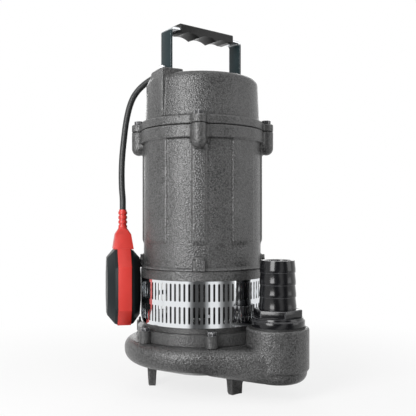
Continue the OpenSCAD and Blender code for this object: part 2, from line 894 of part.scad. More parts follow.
module motor_housing() {
    color(paint)
        difference() {
            union() {
                rod(barrel_r, barrel_z0, 310);
                rod(flange_r, housing_flange_z, seam_z);
                translate([0, 0, barrel_z0]) cylinder(r = flange_r - 1.2, h = 2.6);
                for (lug = lug_angles) {
                    raised_band(lug, 6);
                    raised_band(lug + 45, 13.5);
                }
                at_angles(lug_angles) {
                    lug_column(lug_bottom_z, seam_z, true);
                    slab(boss_z[0], boss_z[1] - 4)
                        translate([66, -7]) square([13.6, 14]);
                    translate([72.6, 0, 0]) rod(7, boss_z[0], boss_z[1]);
                }
            }
            rod(bracket_spigot_r + seat_gap, barrel_z0 - 1, 171);
            rod(68, 170, 190);
            rod(barrel_bore_r, rotor_z[0], seam_z);
            rod(bearing_plate_r + seat_gap, bearing_plate_z[0], seam_z + 1);
            // groove of the O-ring under the cover
            translate([0, 0, seam_z - 2.5]) tube(76.4, 73.2, 0, 4);
            at_angles(lug_angles) translate([lug_r, 0, 0])
                rod(cover_bolt_r + thread_gap, 303, seam_z + 1);
            at_angles(lug_angles) translate([bracket_screw_r, 0, 0])
                rod(3 + thread_gap, barrel_z0 - 1, 164.5);
        }
}

module cover_o_ring() {
    color(black_rubber)
        rotate_extrude() translate([74.8, seam_z - 1.24]) circle(r = 1.2);
}

// ---- Top cover -----------------------------------------------------------

cover_foot_r = 72.5;                    // outer radius of the dome just above its flange
cover_round = 8;
cover_flange_top_z = 330.7;
cover_wall = 5.5;
cover_roof = 6;
bolt_head_z = 329.8;
seat_normal = 207.5;                    // direction that the flat side of the handle seat faces
seat_face = 68;                         // distance of that flat side from the shaft
handle_seat_z = 388.5;                  // the strap's feet stand at this height
seat_rim_z = 390.8;                     // top of the casting around them
handle_bolt_reach = 61.5;               // distance of the handle's bolts from the shaft
handle_bolt_r = 2.5;
gland_x = -46;                          // face of the two cable entries
gland_r = 6.6;
grommet_r = 5.2;
grommet_reach = 3.5;                    // how far a grommet stands out of the face
cord_exit_y = 18;
cord_exit_z = 398.2;
mains_exit_y = 38;

// Section of the dome from the axis outwards
module dome_section(inset) {
    top = cover_top_z - (inset > 0 ? cover_roof : 0);
    rounding = cover_round - inset * 0.6;
    upper = cover_top_r - inset;
    lower = cover_foot_r - inset;
    union() {
        polygon([
            [0, seam_z - (inset > 0 ? 1 : 0)], [lower, seam_z - (inset > 0 ? 1 : 0)],
            [lower, cover_flange_top_z], [upper, top - rounding], [0, top - rounding]
        ]);
        translate([0, top - rounding - eps]) square([upper - rounding, rounding + eps]);
        intersection() {
            translate([upper - rounding, top - rounding]) circle(r = rounding);
            translate([0, top - rounding - 1]) square([upper, rounding + 1]);
        }
    }
}

// Raised seat of one handle foot, on the -X side of the handle's own direction.
// Its outer side is flat and ends in a proud corner; its top slopes into the dome.
module handle_seat() {
    corner = -32.2;                     // the proud corner, along the flat side
    rotate([0, 0, seat_normal - 180 - handle_angle]) {
        slab(cover_flange_top_z - eps, cover_top_z - 6)
            translate([-seat_face, corner]) square([24, 22 - corner]);
        hull() {
            translate([-seat_face, corner, cover_top_z - 12]) cube([34, 22 - corner, 1]);
            translate([-seat_face, corner, seat_rim_z - 2]) cube([27, 2.5 - corner, 2]);
        }
    }
}

// Block at the back left that both cables enter, with a round nose for each
module gland_block() {
    nose = 12;
    middle_y = (cord_exit_y + mains_exit_y) / 2;
    for (y = [cord_exit_y, mains_exit_y]) translate([gland_x, y, 0]) {
        translate([0, 0, cord_exit_z]) rotate([0, 90, 0]) cylinder(r = gland_r, h = nose);
        slab(cover_top_z - 20, cord_exit_z)
            translate([0, -gland_r]) square([nose, 2 * gland_r]);
    }
    slab(cover_top_z - 20, cord_exit_z + 2)
        translate([gland_x, cord_exit_y]) square([nose, mains_exit_y - cord_exit_y]);
    slab(cover_top_z - 20, cover_top_z + 6)
        translate([gland_x, middle_y - 16]) square([28, 32]);
}

module top_cover() {
    color(paint)
        difference() {
            union() {
                rotate_extrude() dome_section(0);
                rod(flange_r, seam_z, cover_flange_top_z);
                at_angles(lug_angles) lug_column(seam_z, bolt_head_z, false);
                rotate([0, 0, handle_angle]) handle_seat();
                rotate([0, 0, handle_angle + 180]) handle_seat();
                gland_block();
            }
            rotate_extrude() dome_section(cover_wall);
            at_angles(lug_angles) translate([lug_r, 0, 0])
                {
                    rod(cover_bolt_r + clearance_gap, seam_z - 1, bolt_head_z + 1);
                    rod(6.3, bolt_head_z, bolt_head_z + 6);
                }
            at_angles([handle_angle, handle_angle + 180]) translate([handle_bolt_reach, 0, 0])
                rod(handle_bolt_r + thread_gap, handle_seat_z - 8.7, handle_seat_z + 1);
            // pockets in which the strap's feet stand
            at_angles([handle_angle, handle_angle + 180])
                translate([leg_x - strap_t - pocket_gap, -strap_w / 2 - pocket_gap, handle_seat_z])
                    cube([foot_end_x - leg_x + strap_t + 2 * pocket_gap, strap_w + 2 * pocket_gap, 5]);
            // the two cable entries, and the way down into the cover
            for (y = [cord_exit_y, mains_exit_y]) {
                translate([gland_x - 1, y, cord_exit_z]) rotate([0, 90, 0])
                    cylinder(r = grommet_r + seat_gap, h = 9);
                translate([gland_x + 7, y, 374]) cylinder(r = 3.2, h = cord_exit_z - 374);
            }
            translate([gland_x - 1, (cord_exit_y + mains_exit_y) / 2, cord_exit_z - 4])
                rotate([0, 90, 0]) cylinder(r = 1.5 + thread_gap, h = 10);
        }
}

module cover_bolts() {
    color(dark_steel)
        at_angles(lug_angles) translate([lug_r, 0, 0])
            hex_screw(cover_bolt_r, 10, 4.6, bolt_head_z, 304);
}

// ---- Electrical parts under the cover ------------------------------------

capacitor_z = 341;
capacitor_y = 36;
capacitor_r = 17.5;

module capacitor() {
    color([0.85, 0.85, 0.83])
        translate([-32, capacitor_y, capacitor_z]) rotate([0, 90, 0]) {
            cylinder(r = capacitor_r, h = 60);
            translate([-4, 0, 59]) cylinder(r = 1.6, h = 6);
            translate([4, 0, 59]) cylinder(r = 1.6, h = 6);
        }
}

module capacitor_clip() {
    band = 1.2;
    foot_z = 316;
    color(bright_steel)
        translate([-8, capacitor_y, 0]) {
            translate([0, 0, capacitor_z]) rotate([0, 90, 0]) difference() {
                cylinder(r = capacitor_r + seat_gap + band, h = 14);
                translate([0, 0, -1]) cylinder(r = capacitor_r + seat_gap, h = 16);
                translate([capacitor_r - 1, -8, -1]) cube([10, 16, 16]);
            }
            for (side = [-1, 1])
                translate([0, side * 8.6 - (side > 0 ? 0 : 9.4), foot_z]) cube([14, 9.4, 1.6]);
            for (side = [-1, 1])
                translate([0, side * 8.6 - (side > 0 ? 0 : 1.2), foot_z]) cube([14, 1.2, 9.6]);
        }
}

module terminal_block() {
    color([0.88, 0.87, 0.82])
        translate([-18, -40, 316])
            difference() {
                cube([36, 14, 14]);
                for (i = [0:2]) translate([6 + 12 * i, 7, 8]) cylinder(r = 2.4, h = 8);
                for (i = [0:2]) translate([6 + 12 * i, -1, 5]) rotate([-90, 0, 0])
                    cylinder(r = 1.8, h = 16);
            }
}

// ---- Cable entries -------------------------------------------------------

// Rubber bush of a cable, held in its entry by the clamp plate.
// bore_r is zero where the cable fills the bush.
module grommet(bore_r) {
    rotate([0, 90, 0])
        difference() {
            union() {
                translate([0, 0, -grommet_reach]) cylinder(r = grommet_r - 0.4, h = grommet_reach + 1);
                cylinder(r = grommet_r, h = 7.5);
            }
            if (bore_r > 0) translate([0, 0, -grommet_reach - 1]) cylinder(r = bore_r, h = 13);
        }
}

module float_cord_grommet() {
    color(black_rubber)
        translate([gland_x, cord_exit_y, cord_exit_z]) grommet(0);
}

module mains_cable_grommet() {
    color(black_rubber)
        translate([gland_x, mains_exit_y, cord_exit_z]) grommet(3.5);
}

module cable_clamp() {
    middle_y = (cord_exit_y + mains_exit_y) / 2;
    span = mains_exit_y - cord_exit_y;
    color(paint_dark)
        translate([gland_x - 2, 0, 0]) rotate([90, 0, 90])
            linear_extrude(height = 2)
                difference() {
                    union() {
                        for (y = [cord_exit_y, mains_exit_y])
                            translate([y, cord_exit_z]) circle(r = gland_r);
                        translate([cord_exit_y, cord_exit_z - 8]) square([span, 10]);
                    }
                    for (y = [cord_exit_y, mains_exit_y])
                        translate([y, cord_exit_z]) circle(r = grommet_r - 0.4 + seat_gap);
                    translate([middle_y, cord_exit_z - 4]) circle(r = 1.5 + clearance_gap);
                }
}

module clamp_screws() {
    color(bright_steel)
        translate([gland_x - 2, (cord_exit_y + mains_exit_y) / 2, cord_exit_z - 4])
            rotate([0, 90, 0]) {
                difference() {
                    translate([0, 0, -1.6]) cylinder(r = 2.8, h = 1.6);
                    translate([-0.4, -4, -2]) cube([0.8, 8, 1.2]);
                }
                translate([0, 0, -0.2]) cylinder(r = 1.5, h = 9.5);
            }
}

// ---- Handle --------------------------------------------------------------

leg_x = handle_span / 2;                // outer face of a leg
bend_r = 6;                             // outer radius of the upper bends
foot_bend_r = 4;
foot_end_x = 65.6;
pocket_gap = 0.4;
strap_foot_z = handle_seat_z;

// Side view of one half of the strap: foot, leg and half of the top
module strap_outline() {
    t = strap_t;
    translate([leg_x + foot_bend_r - t, strap_foot_z]) square([foot_end_x - leg_x - foot_bend_r + t, t]);
    translate([leg_x - t, strap_foot_z + foot_bend_r])
        square([t, strap_top_z - bend_r - strap_foot_z - foot_bend_r]);
    translate([-eps, strap_top_z - t]) square([leg_x - bend_r + eps, t]);
    // lower bend, turned outwards
    intersection() {
        translate([leg_x + foot_bend_r - t, strap_foot_z + foot_bend_r]) difference() {
            circle(r = foot_bend_r);
            circle(r = foot_bend_r - t);
        }
        translate([leg_x - t, strap_foot_z]) square([foot_bend_r, foot_bend_r]);
    }
    // upper bend
    intersection() {
        translate([leg_x - bend_r, strap_top_z - bend_r]) difference() {
            circle(r = bend_r);
            circle(r = bend_r - t);
        }
        translate([leg_x - bend_r, strap_top_z - bend_r]) square([bend_r, bend_r]);
    }
}

module handle_strap() {
    color(dark_steel)
        rotate([0, 0, handle_angle])
            difference() {
                rotate([90, 0, 0])
                    translate([0, 0, -strap_w / 2])
                        linear_extrude(height = strap_w) {
                            strap_outline();
                            mirror([1, 0]) strap_outline();
                        }
                for (side = [-1, 1]) translate([side * handle_bolt_reach, 0, 0])
                    rod(handle_bolt_r + clearance_gap, strap_foot_z - 1, strap_foot_z + strap_t + 1);
            }
}

grip_half = 41.2;
grip_w = 24;
grip_top_z = 449.5;
grip_pitch = 27.2;
grip_cusp_z = 435.8;
grip_end_z = 439.2;                     // underside of the grip at its two ends
grip_arch_r = 27;

// Side view of the grip: flat top and three finger arches below
module grip_outline() {
    rise = sqrt(pow(grip_arch_r, 2) - pow(grip_pitch / 2, 2));
    difference() {
        translate([-grip_half, grip_cusp_z]) square([2 * grip_half, grip_top_z - grip_cusp_z]);
        for (i = [-1:1]) translate([i * grip_pitch, grip_cusp_z - rise + 0.6])
            circle(r = grip_arch_r);
        for (side = [-1, 1]) translate([side * (grip_half + 1), grip_cusp_z])
            square([16, 2 * (grip_end_z - grip_cusp_z)], center = true);
    }
}

module handle_grip() {
    slot_w2 = strap_w / 2 + seat_gap;
    edge = 2.5;
    color(black_plastic)
        rotate([0, 0, handle_angle])
            difference() {
                intersection() {
                    rotate([90, 0, 0])
                        translate([0, 0, -grip_w / 2])
                            linear_extrude(height = grip_w) grip_outline();
                    // the two long upper edges are rounded
                    rotate([90, 0, 90])
                        translate([0, 0, -grip_half - 1])
                            linear_extrude(height = 2 * grip_half + 2) {
                                translate([-grip_w / 2, 0]) square([grip_w, grip_top_z - edge]);
                                translate([-grip_w / 2 + edge, 0]) square([grip_w - 2 * edge, grip_top_z]);
                                for (side = [-1, 1])
                                    translate([side * (grip_w / 2 - edge), grip_top_z - edge])
                                        circle(r = edge);
                            }
                }
                translate([-leg_x, -slot_w2, strap_top_z - strap_t - seat_gap])
                    cube([2 * leg_x, 2 * slot_w2, strap_t + 2 * seat_gap]);
            }
}

handle_head_z = strap_foot_z + strap_t + 1.4;

module handle_bolts() {
    color(bright_steel)
        rotate([0, 0, handle_angle]) for (side = [-1, 1]) translate([side * handle_bolt_reach, 0, 0])
            hex_screw(handle_bolt_r, 8, 3.8, handle_head_z, handle_seat_z - 8);
}

module handle_washers() {
    color(bright_steel)
        rotate([0, 0, handle_angle]) for (side = [-1, 1]) translate([side * handle_bolt_reach, 0, 0])
            tube(4, handle_bolt_r + clearance_gap, strap_foot_z + strap_t, handle_head_z);
}

// ---- Float switch --------------------------------------------------------

float_y = -2;
neck_top_z = 221.6;
band_half_t = 8.1;                      // half thickness of the red middle frame
frame_proud = 0.8;                      // how far the frame stands out of the black shells
shell_wall = 2.2;

// Route of the cord, from its rubber bush to the neck of the float
cord_route = [
    [gland_x - grommet_reach, cord_exit_y, cord_exit_z],
    [-53, 18, cord_exit_z],
    [-61, 18, 396],
    [-69.5, 17.8, 391.4],
    [-78, 17.2, 385],
    [-85, 16.4, 377.8],
    [-90.5, 15.2, 369.5],
    [-94.6, 13.5, 359.2],
    [-97.6, 11.6, 347],
    [-100, 9.3, 332],
    [-101.6, 7, 316],
    [-102.9, 4.8, 300],
    [-103.8, 2.8, 284],
    [-104, 1.2, 267],
    [-103.4, -0.4, 250],
    [-102.4, -1.8, 240],
    [-float_x, float_y, 233],
    [-float_x, float_y, neck_top_z]
];

module float_cord() {
    color(black_rubber) sweep(cord_route, cord_d / 2, 10, [0, 1, 0]);
}

// Outline of the float seen on its broad side, from its middle line outwards
float_half_w = 39;
float_bottom_z = 78;
float_top_z = 171.5;
float_outline = [
    [-24, float_bottom_z], [24, float_bottom_z], [float_half_w, 98], [float_half_w, 150],
    [22, float_top_z], [-22, float_top_z], [-float_half_w, 150], [-float_half_w, 98]
];

// The same outline drawn in by a distance, for the flat faces and the inner walls
function drawn_in(points, by, middle = [0, 124]) =
    [for (p = points) let (v = p - middle) p - by * [sign(v[0]), sign(v[1])]];

// Puts a shape into the float's own place: x across its thickness, y across its width
module in_float() {
    translate([-float_x, float_y, 0]) rotate([0, 0, float_turn]) children();
}

// Flat outline standing upright at a place along the float's thickness
module plate_across(x0, x1, points) {
    translate([x0, 0, 0]) rotate([90, 0, 90]) linear_extrude(height = x1 - x0) polygon(points);
}

// Half shell with sloping sides, closed outside and open towards the frame
module half_shell(side) {
    skin = 0.1;
    shell_half = float_half_t;
    color(float_black)
        in_float() mirror([side < 0 ? 1 : 0, 0, 0]) difference() {
            hull() {
                plate_across(band_half_t, band_half_t + skin, float_outline);
                plate_across(band_half_t, band_half_t + 3.5, drawn_in(float_outline, 1.2));
                plate_across(shell_half - skin, shell_half, drawn_in(float_outline, 11));
            }
            hull() {
                plate_across(band_half_t - 1, band_half_t + 1, drawn_in(float_outline, 3.4));
                plate_across(shell_half - shell_wall - skin, shell_half - shell_wall,
                    drawn_in(float_outline, 12.2));
            }
        }
}

module float_shell_outer() { half_shell(-1); }
module float_shell_inner() { half_shell(1); }

// Red frame between the shells, with the shoulder and the ribbed neck of the cord
module float_frame() {
    shoulder_z = 190;
    neck_z = 198;
    ribs = 4;
    rib_pitch = (neck_top_z - neck_z) / ribs;
    color(float_red) in_float() {
        difference() {
            plate_across(-band_half_t, band_half_t, drawn_in(float_outline, -frame_proud));
            plate_across(-band_half_t - 1, band_half_t + 1, drawn_in(float_outline, 5));
        }
        hull() {
            translate([-12.4, -19, float_top_z]) cube([24.8, 38, 0.2]);
            translate([-9.8, -12, shoulder_z]) cube([19.6, 24, 0.2]);
            translate([0, 0, neck_z]) cylinder(r = 5.4, h = 0.2, $fn = 24);
        }
        rod(4.7, neck_z - 1, neck_top_z);
        for (i = [0:ribs - 1])
            translate([0, 0, neck_z + i * rib_pitch]) rod(5.7, 0, rib_pitch * 0.6);
    }
}

guide_z = [104, 146];
float_ball_r = 6;

// Round guide in which the ball rolls from end to end
module ball_guide() {
    color(black_plastic) in_float()
        difference() {
            union() {
                rod(float_ball_r + 2.3, guide_z[0], guide_z[1]);
                translate([-3, 5 - float_half_w, 120]) cube([6, 28, 4]);
                translate([-3, float_half_w - 33, 120]) cube([6, 28, 4]);
            }
            rod(float_ball_r + 0.4, guide_z[0] + 2, guide_z[1] + eps);
        }
}

module float_ball() {
    color(bright_steel) in_float()
        translate([0, 0, guide_z[0] + 2.2 + float_ball_r]) sphere(r = float_ball_r, $fn = 32);
}

switch_z = 154.5;

module float_switch() {
    color([0.15, 0.20, 0.35]) in_float() {
        difference() {
            translate([-3.2, -10, switch_z + 2]) cube([6.4, 20, 10]);
            for (y = [-5, 5]) translate([-4, y, switch_z + 9]) rotate([0, 90, 0])
                cylinder(r = 1.3, h = 8);
        }
        translate([-2, -10, switch_z - 1.2]) cube([4, 1.2, 4]);
    }
}

// Spring lever under the switch, which the ball presses up
module switch_lever() {
    color(bright_steel) in_float()
        translate([-2, -8.6, switch_z - 1.2]) cube([4, 17.6, 0.6]);
}

pump_casing();
outlet_gasket();
hose_tail();
impeller();
impeller_key();
impeller_nut();
suction_plate();
plate_gasket();
plate_bolts();
column_bolts();
strainer();
lower_bracket();
bracket_o_ring();
bracket_screws();
oil_plug();
oil_cover();
oil_cover_screws();
seal_seat();
seal_head();
seal_spring();
lip_seal();
shaft();
rotor_core();
rotor_cage();
stator_core();
stator_windings();
lower_bearing_outer();
lower_bearing_balls();
lower_bearing_inner();
upper_bearing_outer();
upper_bearing_balls();
upper_bearing_inner();
wave_washer();
upper_bearing_plate();
motor_housing();
cover_o_ring();
top_cover();
cover_bolts();
capacitor();
capacitor_clip();
terminal_block();
float_cord_grommet();
mains_cable_grommet();
cable_clamp();
clamp_screws();
handle_strap();
handle_grip();
handle_bolts();
handle_washers();
float_cord();
float_frame();
float_shell_outer();
float_shell_inner();
ball_guide();
float_ball();
float_switch();
switch_lever();
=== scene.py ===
import json
import math

import bmesh
import bpy
import numpy as np
from mathutils import Matrix, Vector


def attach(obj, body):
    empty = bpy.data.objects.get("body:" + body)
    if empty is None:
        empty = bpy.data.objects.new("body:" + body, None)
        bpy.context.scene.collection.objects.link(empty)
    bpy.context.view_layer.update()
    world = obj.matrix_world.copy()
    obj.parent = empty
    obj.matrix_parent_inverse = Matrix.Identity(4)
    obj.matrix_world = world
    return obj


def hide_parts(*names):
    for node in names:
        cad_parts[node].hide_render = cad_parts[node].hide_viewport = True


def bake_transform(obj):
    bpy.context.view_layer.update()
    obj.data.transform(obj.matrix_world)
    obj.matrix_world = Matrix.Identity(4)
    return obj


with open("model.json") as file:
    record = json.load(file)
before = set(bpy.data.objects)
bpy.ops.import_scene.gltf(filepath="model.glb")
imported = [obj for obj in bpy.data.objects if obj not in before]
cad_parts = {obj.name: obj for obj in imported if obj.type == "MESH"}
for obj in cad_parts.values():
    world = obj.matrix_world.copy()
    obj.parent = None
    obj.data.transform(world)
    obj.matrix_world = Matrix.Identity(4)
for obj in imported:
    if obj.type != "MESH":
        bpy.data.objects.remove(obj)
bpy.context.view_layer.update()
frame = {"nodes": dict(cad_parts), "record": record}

MM = 0.001
UP = Vector((0, 0, 1))
scene = bpy.context.scene
scene.view_settings.view_transform = "Standard"


# ---- Camera and cord ---------------------------------------------------------

PICTURE = 416                     # side of the square picture, in pixels
VIEW_TURN = math.radians(2.1)     # the camera stands this far round to the right
VIEW_DISTANCE = 0.806
VIEW_HEIGHT = 0.207
SHAFT_OFFSET = 0.0073             # the shaft stands this far left of the middle of the view
HORIZON_DROP = 13                 # rows from the middle of the picture down to the horizon
LENS = 54.5
FILM_WIDTH = 36

camera_data = bpy.data.cameras.new("camera")
camera_data.sensor_width = FILM_WIDTH
camera_data.lens = LENS
camera_data.shift_y = HORIZON_DROP / PICTURE
camera_data.clip_start = 0.01
camera_data.clip_end = 50
camera = bpy.data.objects.new("camera", camera_data)
scene.collection.objects.link(camera)
camera.location = Matrix.Rotation(VIEW_TURN, 3, "Z") @ Vector(
    (SHAFT_OFFSET, -VIEW_DISTANCE, VIEW_HEIGHT)
)
camera.rotation_euler = (math.radians(90), 0, VIEW_TURN)
scene.camera = camera


def link(name, mesh):
    piece = bpy.data.objects.new(name, mesh)
    scene.collection.objects.link(piece)
    return piece


def smooth_route(points, steps):
    """A smooth line through points, with steps short lines between each pair."""
    pts = [Vector(p) * MM for p in points]
    pts = [pts[0] * 2 - pts[1]] + pts + [pts[-1] * 2 - pts[-2]]
    line = []
    for a, b, c, d in zip(pts, pts[1:], pts[2:], pts[3:]):
        for i in range(steps):
            t = i / steps
            line.append(
                0.5 * (2 * b + (c - a) * t + (2 * a - 5 * b + 4 * c - d) * t ** 2
                       + (3 * b - a - 3 * c + d) * t ** 3)
            )
    return line + [pts[-2]]


CORD_ROUTE = [
    (-49.5, 18, 398.2), (-53, 18, 398.2), (-61, 18, 396), (-69.5, 17.8, 391.4),
    (-78, 17.2, 385), (-85, 16.4, 377.8), (-90.5, 15.2, 369.5), (-94.6, 13.5, 359.2),
    (-97.6, 11.6, 347), (-100, 9.3, 332), (-101.6, 7, 316), (-102.9, 4.8, 300),
    (-103.8, 2.8, 284), (-104, 1.2, 267), (-103.4, -0.4, 250), (-102.4, -1.8, 240),
    (-102, -2, 233), (-102, -2, 221.6),
]
CORD_DIAMETER = 8 * MM
CORD_SIDES = 24
cord_line = smooth_route(CORD_ROUTE, 4)


def tube_along(name, line, radius, sides):
    """A round tube along a line, as a mesh with closed ends."""
    curve = bpy.data.curves.new(name, "CURVE")
    curve.dimensions = "3D"
    curve.bevel_depth = radius
    curve.bevel_resolution = sides // 4 - 1
    curve.use_fill_caps = True
    spline = curve.splines.new("POLY")
    spline.points.add(len(line) - 1)
    for point, at in zip(spline.points, line):
        point.co = (*at, 1)
    made = bpy.data.objects.new(name + "_curve", curve)
    scene.collection.objects.link(made)
    graph = bpy.context.evaluated_depsgraph_get()
    mesh = bpy.data.meshes.new_from_object(made.evaluated_get(graph))
    bpy.data.objects.remove(made)
    return link(name, mesh)


cord = tube_along("float_cord_sheath", cord_line, CORD_DIAMETER / 2, CORD_SIDES)
cord.data.shade_smooth()
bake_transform(cord)
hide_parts("float_cord")


# ---- Materials -----------------------------------------------------------------

def group_with(name, inputs, outputs):
    """A new shader node group with these sockets, and its input and output nodes."""
    group = bpy.data.node_groups.new(name, "ShaderNodeTree")
    for label, kind, value in inputs:
        socket = group.interface.new_socket(label, in_out="INPUT", socket_type=kind)
        socket.default_value = value
    for label, kind in outputs:
        group.interface.new_socket(label, in_out="OUTPUT", socket_type=kind)
    source = group.nodes.new("NodeGroupInput")
    result = group.nodes.new("NodeGroupOutput")
    return group, source, result


def add(tree, kind, links=(), **values):
    """A new node: values set its properties, links join (input, socket or value) pairs."""
    node = tree.nodes.new(kind)
    for key, value in values.items():
        setattr(node, key, value)
    for where, what in links:
        if isinstance(what, bpy.types.NodeSocket):
            tree.links.new(what, node.inputs[where])
        else:
            node.inputs[where].default_value = what
    return node


def ramp(tree, value, low, high):
    """value, stretched so that low becomes 0 and high becomes 1, and clamped."""
    node = add(tree, "ShaderNodeMapRange",
               [("Value", value), ("From Min", low), ("From Max", high)],
               interpolation_type="SMOOTHSTEP")
    return node.outputs["Result"]


def mix(tree, share, a, b):
    """Colour a at share 0 and colour b at share 1."""
    node = add(tree, "ShaderNodeMix", data_type="RGBA")
    for where, what in (("Factor", share), ("A", a), ("B", b)):
        socket = [s for s in node.inputs if s.name == where and s.enabled][0]
        if isinstance(what, bpy.types.NodeSocket):
            tree.links.new(what, socket)
        else:
            socket.default_value = what
    return [s for s in node.outputs if s.enabled][0]


def blend_number(tree, share, a, b):
    """The number a at share 0 and b at share 1."""
    node = add(tree, "ShaderNodeMapRange", [("Value", share), ("To Min", a), ("To Max", b)])
    return node.outputs["Result"]


# The paint turns the hollow mark into painted shade in inner corners, and into a lighter edge on
# outer edges, which is partly wear and partly a painted highlight
HOLLOW = "hollow"                 # above 0 in inner corners and below 0 on outer edges
EDGE = "edge"                     # 1 on the small faces of a rounded edge


def hammertone_group():
    """Hammered paint: shallow dimples with dark rims, over a slowly changing tone.

    The hollow attribute paints shade into inner corners, down to almost black, and lightens outer
    edges to the Worn colour, which stands for wear and is also a painted highlight.
    """
    group, source, result = group_with(
        "hammered_paint",
        [("Dark", "NodeSocketColor", (0.05, 0.05, 0.05, 1)),
         ("Light", "NodeSocketColor", (0.15, 0.15, 0.15, 1)),
         ("Worn", "NodeSocketColor", (0.2, 0.2, 0.2, 1)),
         ("Dimples", "NodeSocketFloat", 400.0),
         ("Depth", "NodeSocketFloat", 0.0005),
         ("Gloss", "NodeSocketFloat", 0.38)],
        [("Color", "NodeSocketColor"), ("Roughness", "NodeSocketFloat"),
         ("Normal", "NodeSocketVector")],
    )
    place = add(group, "ShaderNodeTexCoord").outputs["Object"]
    size = source.outputs["Dimples"]
    warp = add(group, "ShaderNodeTexNoise", [("Vector", place), ("Scale", 220.0), ("Detail", 2.0)])
    bent = add(group, "ShaderNodeVectorMath",
               [(0, warp.outputs["Color"]), (1, (0.004, 0.004, 0.004)), (2, place)],
               operation="MULTIPLY_ADD")
    cells = add(group, "ShaderNodeTexVoronoi",
                [("Vector", bent.outputs[0]), ("Scale", size), ("Smoothness", 0.7)],
                feature="SMOOTH_F1")
    grain = add(group, "ShaderNodeTexNoise",
                [("Vector", place), ("Scale", 1300.0), ("Detail", 4.0), ("Roughness", 0.6)])
    tone = add(group, "ShaderNodeTexNoise", [("Vector", place), ("Scale", 26.0), ("Detail", 3.0)])
    speck = ramp(group, cells.outputs["Distance"], 0.2, 0.75)
    share = add(group, "ShaderNodeMath", [(0, speck), (1, 0.75)], operation="MULTIPLY")
    both = add(group, "ShaderNodeMath",
               [(0, ramp(group, tone.outputs["Fac"], 0.3, 0.7)), (1, 0.25), (2, share.outputs[0])],
               operation="MULTIPLY_ADD")
    skin = mix(group, both.outputs[0], source.outputs["Light"], source.outputs["Dark"])
    hollow = add(group, "ShaderNodeAttribute", attribute_name=HOLLOW).outputs["Fac"]
    # Outer edges take the Worn colour, which is wear and also a painted highlight. Inner corners
    # go almost black, which is painted shade.
    worn = mix(group, ramp(group, hollow, -0.05, -0.20), skin, source.outputs["Worn"])
    colour = mix(group, ramp(group, hollow, 0.015, 0.14), worn, (0.010, 0.010, 0.010, 1))
    height = add(group, "ShaderNodeMath",
                 [(0, grain.outputs["Fac"]), (1, 0.35), (2, cells.outputs["Distance"])],
                 operation="MULTIPLY_ADD")
    bump = add(group, "ShaderNodeBump",
               [("Height", height.outputs[0]), ("Distance", source.outputs["Depth"]),
                ("Strength", 1.0)])
    rough = add(group, "ShaderNodeMath",
                [(0, grain.outputs["Fac"]), (1, 0.16), (2, source.outputs["Gloss"])],
                operation="MULTIPLY_ADD")
    group.links.new(colour, result.inputs["Color"])
    group.links.new(rough.outputs[0], result.inputs["Roughness"])
    group.links.new(bump.outputs[0], result.inputs["Normal"])
    return group


def grain_group():
    """Fine even grain of moulded, turned or brushed surfaces, stretched by Stretch.

    The edge attribute shows the Edge colour on rounded edges. Where that colour is lighter than
    Color, it is a painted highlight along the edge as well as wear.
    """
    group, source, result = group_with(
        "fine_grain",
        [("Color", "NodeSocketColor", (0.5, 0.5, 0.5, 1)),
         ("Worn", "NodeSocketColor", (0.6, 0.6, 0.6, 1)),
         ("Edge", "NodeSocketColor", (0.6, 0.6, 0.6, 1)),
         ("Grain", "NodeSocketFloat", 900.0),
         ("Stretch", "NodeSocketVector", (1.0, 1.0, 1.0)),
         ("Depth", "NodeSocketFloat", 0.0001),
         ("Gloss", "NodeSocketFloat", 0.3),
         ("Uneven", "NodeSocketFloat", 0.18)],
        [("Color", "NodeSocketColor"), ("Roughness", "NodeSocketFloat"),
         ("Normal", "NodeSocketVector")],
    )
    place = add(group, "ShaderNodeTexCoord").outputs["Object"]
    drawn = add(group, "ShaderNodeVectorMath",
                [(0, place), (1, source.outputs["Stretch"])], operation="MULTIPLY")
    grain = add(group, "ShaderNodeTexNoise",
                [("Vector", drawn.outputs[0]), ("Scale", source.outputs["Grain"]),
                 ("Detail", 3.0), ("Roughness", 0.55)])
    smear = add(group, "ShaderNodeTexNoise",
                [("Vector", drawn.outputs[0]), ("Scale", 45.0), ("Detail", 3.0)])
    worn = add(group, "ShaderNodeMath",
               [(0, ramp(group, smear.outputs["Fac"], 0.42, 0.72)), (1, 0.45)],
               operation="MULTIPLY")
    skin = mix(group, worn.outputs[0], source.outputs["Color"], source.outputs["Worn"])
    edge = add(group, "ShaderNodeAttribute", attribute_name=EDGE).outputs["Fac"]
    colour = mix(group, edge, skin, source.outputs["Edge"])
    bump = add(group, "ShaderNodeBump",
               [("Height", grain.outputs["Fac"]), ("Distance", source.outputs["Depth"]),
                ("Strength", 1.0)])
    uneven = add(group, "ShaderNodeMath",
                 [(0, smear.outputs["Fac"]), (1, source.outputs["Uneven"]),
                  (2, source.outputs["Gloss"])], operation="MULTIPLY_ADD")
    group.links.new(colour, result.inputs["Color"])
    group.links.new(uneven.outputs[0], result.inputs["Roughness"])
    group.links.new(bump.outputs[0], result.inputs["Normal"])
    return group


HAMMERED_PAINT = hammertone_group()
FINE_GRAIN = grain_group()


def shader_from(name, group, settings, metallic=0.0, mirror=0.5):
    """A material whose colour, roughness and normal come from a group with these settings."""
    made = bpy.data.materials.new(name)
    made.use_nodes = True
    tree = made.node_tree
    shader = tree.nodes["Principled BSDF"]
    skin = add(tree, "ShaderNodeGroup", node_tree=group)
    for label, value in settings.items():
        skin.inputs[label].default_value = value
    tree.links.new(skin.outputs["Color"], shader.inputs["Base Color"])
    tree.links.new(skin.outputs["Roughness"], shader.inputs["Roughness"])
    tree.links.new(skin.outputs["Normal"], shader.inputs["Normal"])
    shader.inputs["Metallic"].default_value = metallic
    shader.inputs["Specular IOR Level"].default_value = mirror
    return made


def grey(value, blue=1.0):
    return (value, value, value * blue, 1)


